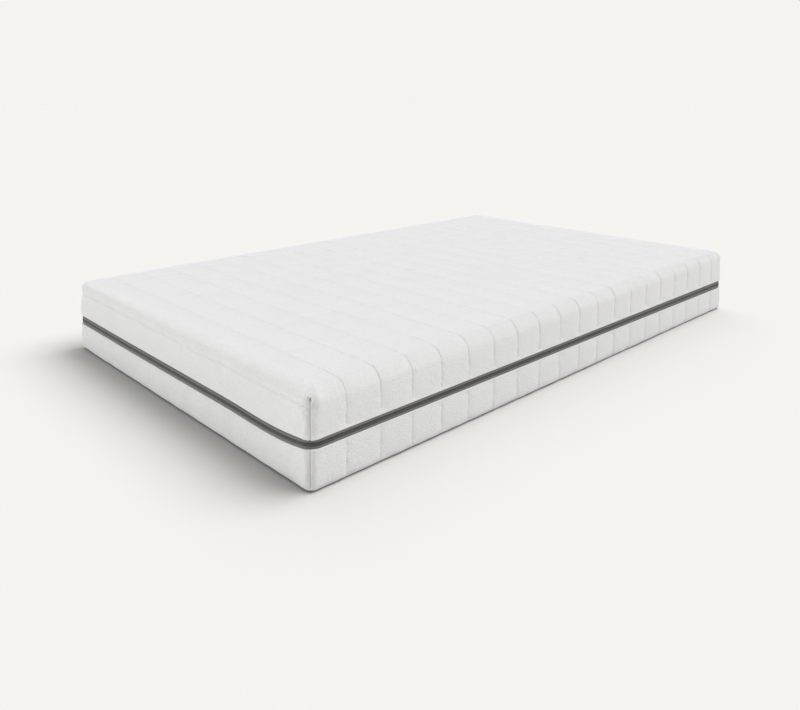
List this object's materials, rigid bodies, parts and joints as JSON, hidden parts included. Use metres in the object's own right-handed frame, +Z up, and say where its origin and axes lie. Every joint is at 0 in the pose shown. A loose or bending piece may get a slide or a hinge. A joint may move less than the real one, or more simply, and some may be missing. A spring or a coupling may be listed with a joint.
{
  "type": "memory foam mattress",
  "caption": "Rectangular memory foam mattress in a quilted knit cover whose two halves join at a zip band round all four sides.",
  "frame": {"origin": "centre of the underside, on the surface the mattress lies on", "axes": "+Z up, +Y along the length towards the head end, +X towards the long side opposite the zip's slider"},
  "size_m": [1.2051, 2, 0.22],
  "materials": {
    "knit": "matte",
    "wadding": "matte",
    "lining": "matte",
    "thread": "satin",
    "zip_tape": "matte",
    "zip_coil": "satin",
    "memory_foam": "matte",
    "support_foam": "matte",
    "metal": "satin"
  },
  "bodies": {
    "base_cover": {"bottom_cover_knit": "knit", "bottom_cover_wadding": "wadding", "bottom_cover_lining": "lining", "lower_zip_tape": "zip_tape", "lower_zip_coil": "zip_coil", "lower_end_stop": "metal"},
    "foam_core": {"support_foam_core": "support_foam", "memory_foam_layer": "memory_foam"},
    "top_cover": {"top_cover_knit": "knit", "top_cover_wadding": "wadding", "top_cover_lining": "lining", "upper_zip_tape": "zip_tape", "upper_zip_coil": "zip_coil", "upper_end_stop": "metal"},
    "zip_slider": {"zip_slider_body": "metal"},
    "pull_tab": {"zip_pull_tab": "metal"}
  },
  "joints": [
    {"name": "foam_lift", "type": "slide", "parent": "base_cover", "child": "foam_core", "axis": [0, 0, 1], "range_m": [0, 0.25]},
    {"name": "top_cover_lift", "type": "slide", "parent": "foam_core", "child": "top_cover", "axis": [0, 0, 1], "range_m": [0, 0.25]},
    {"name": "zip_slide", "type": "slide", "parent": "base_cover", "child": "zip_slider", "axis": [0, -1, 0], "range_m": [0, 1.85]},
    {"name": "pull_tab_swing", "type": "hinge", "parent": "zip_slider", "child": "pull_tab", "pos_m": [-0.60265, 0.93, 0.0964], "axis": [0, 0, -1], "range_deg": [0, 180]}
  ]
}
